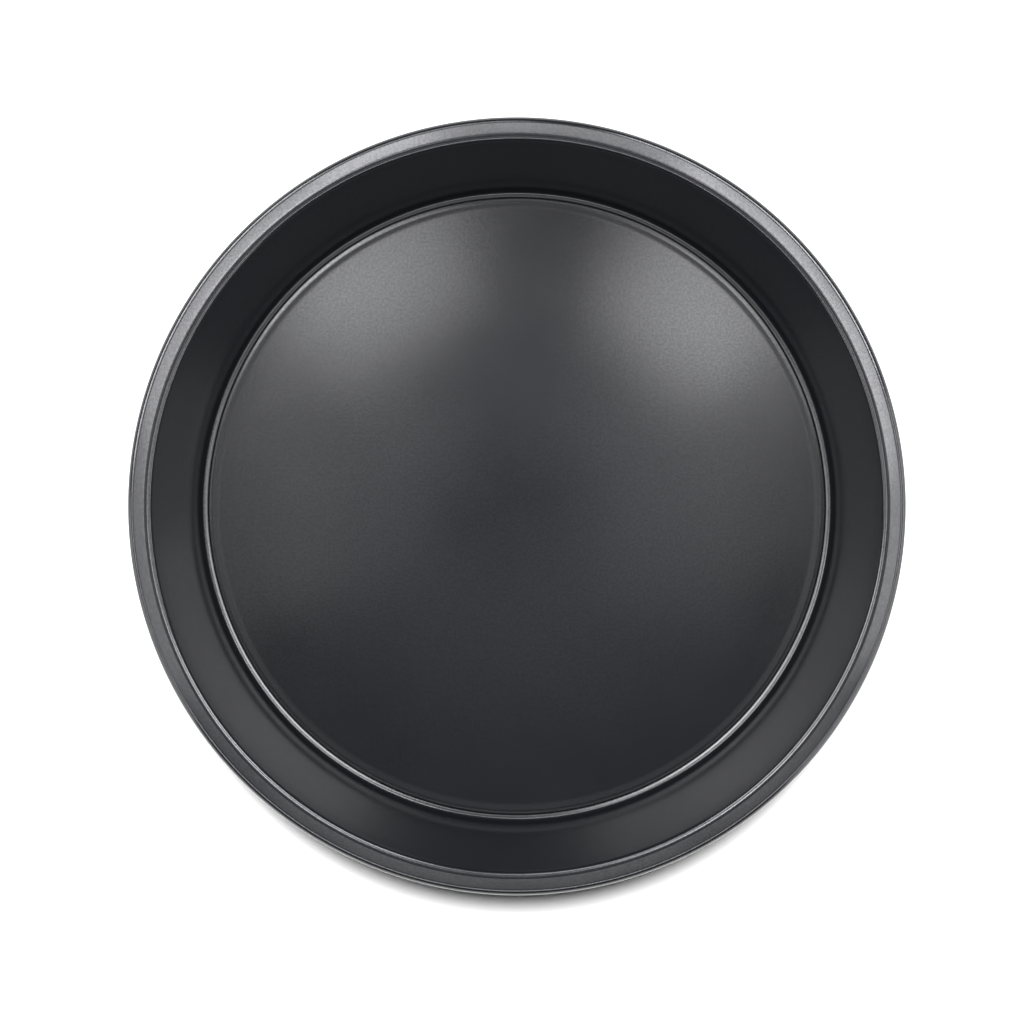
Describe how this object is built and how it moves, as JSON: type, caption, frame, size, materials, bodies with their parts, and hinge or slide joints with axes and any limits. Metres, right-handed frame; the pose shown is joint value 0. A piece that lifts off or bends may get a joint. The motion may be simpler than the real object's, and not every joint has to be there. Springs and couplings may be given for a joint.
{
  "type": "round cake pan",
  "caption": "Round cake pan with a loose base: a flared sheet-steel ring with a rolled rim and an inner ledge at the foot, carrying a flat floor plate that lifts out.",
  "frame": {"origin": "on the pan's axis, in the plane of the table that the pan stands on", "axes": "+Z up along the pan's axis, with the mouth facing up; the pan is round, so X and Y are alike, and +Y is up in the picture"},
  "size_m": [0.2438, 0.2438, 0.045],
  "materials": {
    "nonstick_coating": "satin dark grey non-stick coating on sheet steel, with a fine grain",
    "wire_steel": "drawn steel wire"
  },
  "bodies": {
    "ring": {"side_ring": "nonstick_coating", "rim_wire": "wire_steel"},
    "base": {"loose_base": "nonstick_coating"}
  },
  "joints": [
    {"name": "base_lift", "type": "slide", "parent": "ring", "child": "base", "axis": [0, 0, 1], "range_m": [0, 0.06]}
  ]
}
